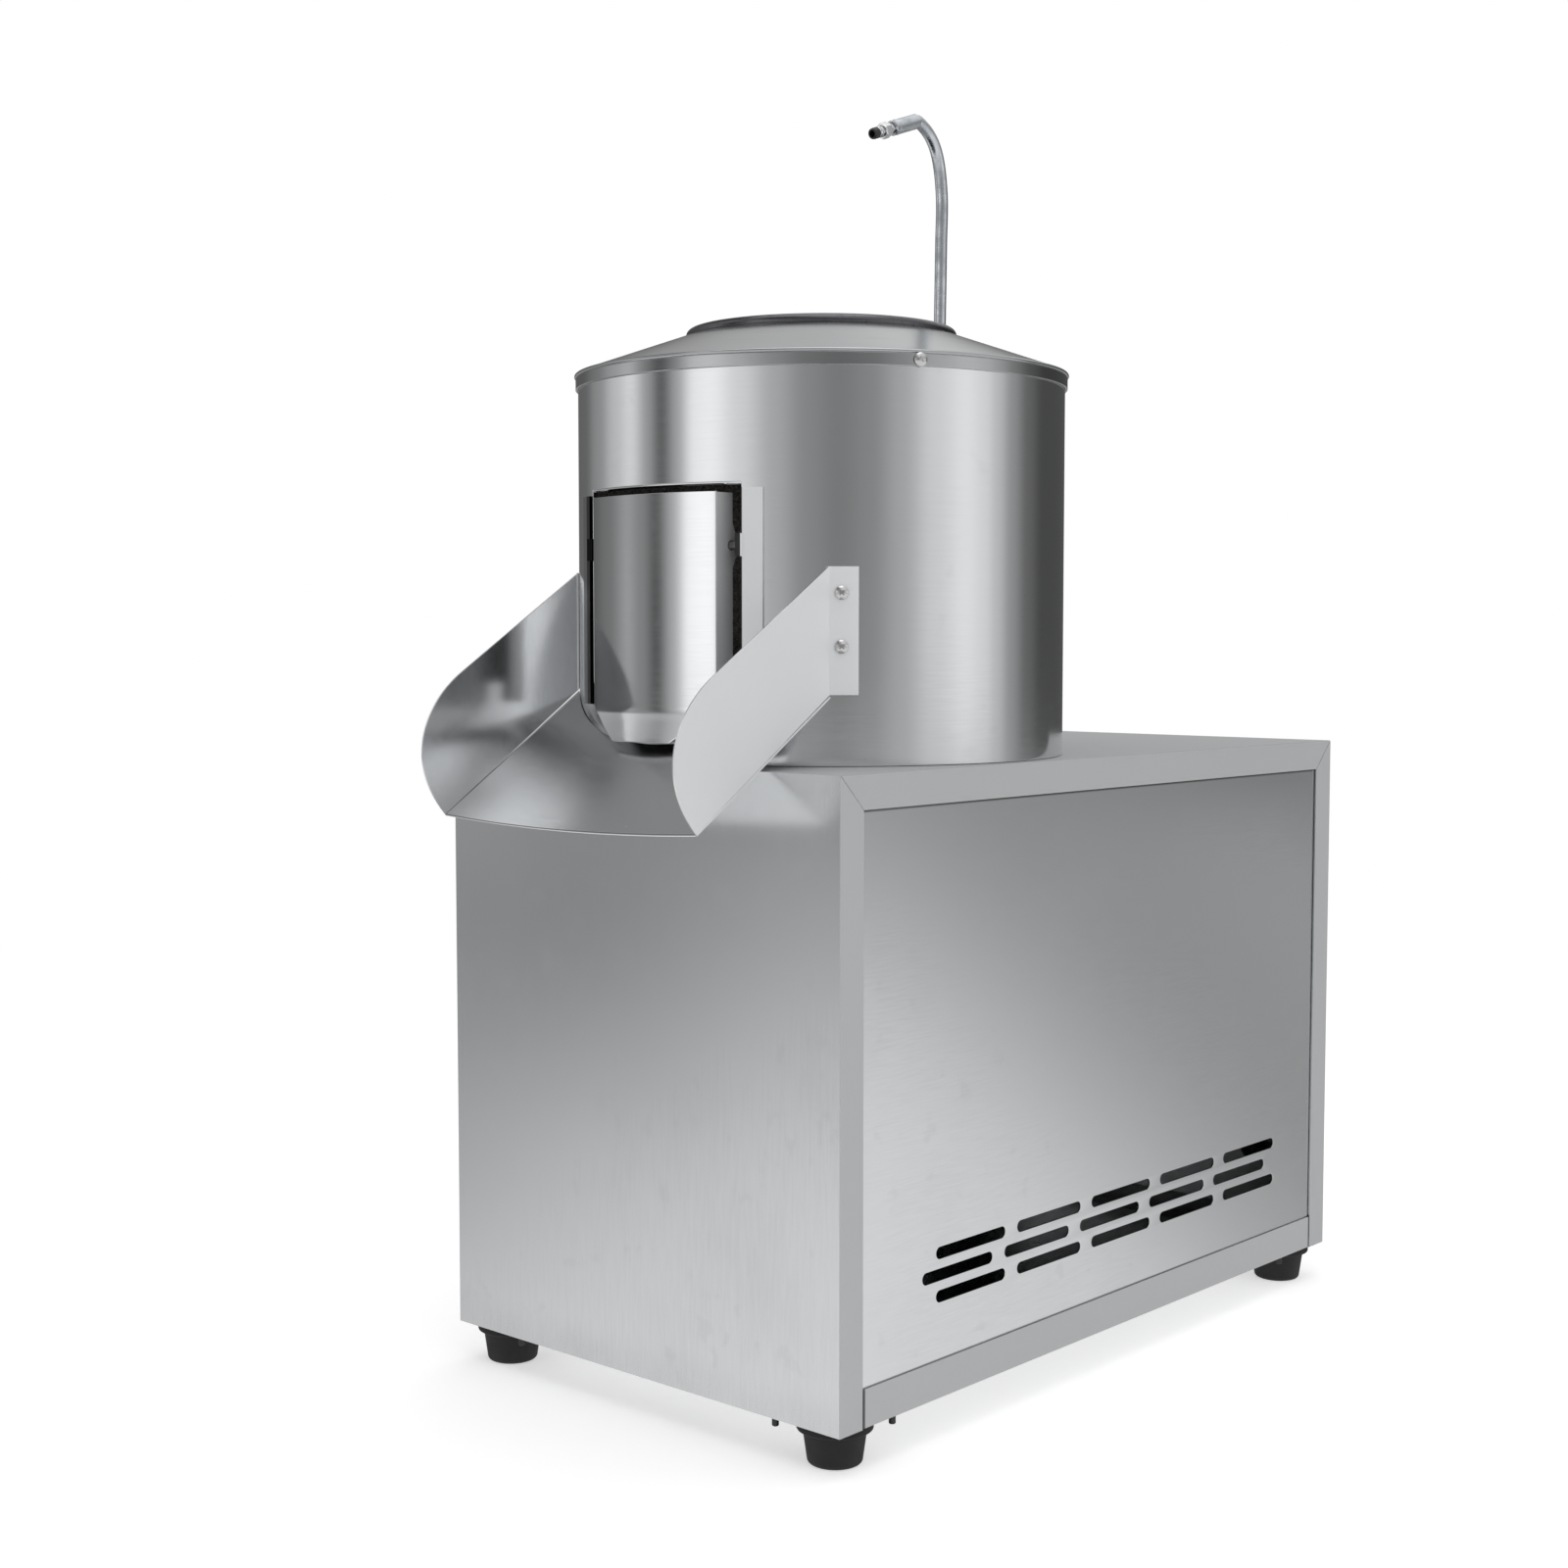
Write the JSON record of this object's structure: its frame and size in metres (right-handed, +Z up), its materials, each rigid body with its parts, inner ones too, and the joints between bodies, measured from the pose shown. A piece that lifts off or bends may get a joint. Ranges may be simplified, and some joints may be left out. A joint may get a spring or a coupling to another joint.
{
  "type": "commercial potato peeler",
  "caption": "Abrasive potato peeler with a steel drum, a wave-ribbed turning disc, a hinged discharge door and a chute, on a sheet-steel cabinet with a belt drive.",
  "frame": {"origin": "on the floor under the middle of the whole machine", "axes": "+Z up; the discharge chute faces -Y; +X is the side whose panel the picture shows"},
  "size_m": [0.366, 0.7284, 0.9206],
  "materials": {
    "cabinet_steel": "satin stainless sheet",
    "panel_steel": "satin stainless sheet",
    "tray_steel": "satin stainless sheet",
    "foot_rubber": "moulded black rubber",
    "bolt_steel": "zinc plated",
    "frame_steel": "grey primer",
    "drum_steel": "polished stainless sheet",
    "abrasive_grit": "bonded grit",
    "pan_steel": "satin stainless sheet",
    "door_steel": "polished stainless sheet",
    "strip_steel": "satin stainless sheet",
    "rod_steel": "ground steel",
    "chute_steel": "satin stainless sheet",
    "screw_steel": "polished screw",
    "cover_steel": "polished stainless sheet",
    "pipe_metal": "plated tube",
    "fitting_metal": "plated fitting",
    "disc_aluminium": "cast disc with grit",
    "cap_nut_steel": "turned steel",
    "housing_iron": "painted casting",
    "bearing_steel": "ground rings",
    "seal_rubber": "black rubber",
    "motor_paint": "blue-grey paint",
    "rotor_steel": "laminated core and shaft",
    "black_plastic": "moulded plastic",
    "drain_steel": "welded tube",
    "switch_plastic": "moulded plastic",
    "green_plastic": "moulded plastic",
    "red_plastic": "moulded plastic"
  },
  "bodies": {
    "frame": {"cabinet_wrap": "cabinet_steel", "side_panel_right": "panel_steel", "side_panel_left": "panel_steel", "base_tray": "tray_steel", "foot_front_right": "foot_rubber", "foot_bolt_front_right": "bolt_steel", "foot_front_left": "foot_rubber", "foot_bolt_front_left": "bolt_steel", "foot_rear_right": "foot_rubber", "foot_bolt_rear_right": "bolt_steel", "foot_rear_left": "foot_rubber", "foot_bolt_rear_left": "bolt_steel", "machine_plate": "frame_steel", "drum_shell": "drum_steel", "drum_liner": "abrasive_grit", "drum_pan": "pan_steel", "hinge_rod": "rod_steel", "guide_strip_right": "strip_steel", "guide_strip_left": "strip_steel", "chute": "chute_steel", "chute_screw_right_upper": "screw_steel", "chute_screw_right_lower": "screw_steel", "chute_screw_left_upper": "screw_steel", "chute_screw_left_lower": "screw_steel", "drum_cover": "cover_steel", "cover_screw_1": "screw_steel", "cover_screw_2": "screw_steel", "cover_screw_3": "screw_steel", "water_pipe": "pipe_metal", "pipe_collar": "cover_steel", "pipe_sleeve": "pipe_metal", "hose_nut": "fitting_metal", "hose_nozzle": "fitting_metal", "bearing_housing": "housing_iron", "bearing_upper": "bearing_steel", "bearing_lower": "bearing_steel", "shaft_seal": "seal_rubber", "v_belt": "seal_rubber", "motor_bracket": "frame_steel", "motor_end_bell": "motor_paint", "motor_body": "motor_paint", "motor_fan_cover": "motor_paint", "terminal_box": "black_plastic", "motor_capacitor": "black_plastic", "drain_elbow": "drain_steel", "drain_pipe": "drain_steel", "switch_box": "switch_plastic", "cable_gland": "black_plastic"},
    "disc_drive": {"peeling_disc": "disc_aluminium", "disc_cap_nut": "cap_nut_steel", "main_shaft": "rod_steel", "driven_pulley": "housing_iron"},
    "motor_drive": {"motor_rotor": "rotor_steel", "motor_pulley": "housing_iron", "motor_fan": "black_plastic"},
    "door": {"discharge_door": "door_steel"},
    "start_key": {"start_button": "green_plastic"},
    "stop_key": {"stop_button": "red_plastic"}
  },
  "joints": [
    {"name": "disc_spin", "type": "hinge", "parent": "frame", "child": "disc_drive", "pos_m": [0, -0.09061, 0.488], "axis": [0, 0, 1], "continuous": true},
    {"name": "motor_spin", "type": "hinge", "parent": "frame", "child": "motor_drive", "pos_m": [0, 0.17539, 0.348], "axis": [0, 0, 1], "continuous": true},
    {"name": "door_hinge", "type": "hinge", "parent": "frame", "child": "door", "pos_m": [0, -0.24761, 0.5888], "axis": [-1, 0, 0], "range_deg": [0, 65]},
    {"name": "start_press", "type": "slide", "parent": "frame", "child": "start_key", "axis": [0, -1, 0], "range_m": [0, 0.004], "stiffness_N_per_m": 300},
    {"name": "stop_press", "type": "slide", "parent": "frame", "child": "stop_key", "axis": [0, -1, 0], "range_m": [0, 0.004], "stiffness_N_per_m": 300}
  ],
  "couplings": [
    {"joint": "motor_spin", "follows": "disc_spin", "ratio": 3.9062}
  ]
}
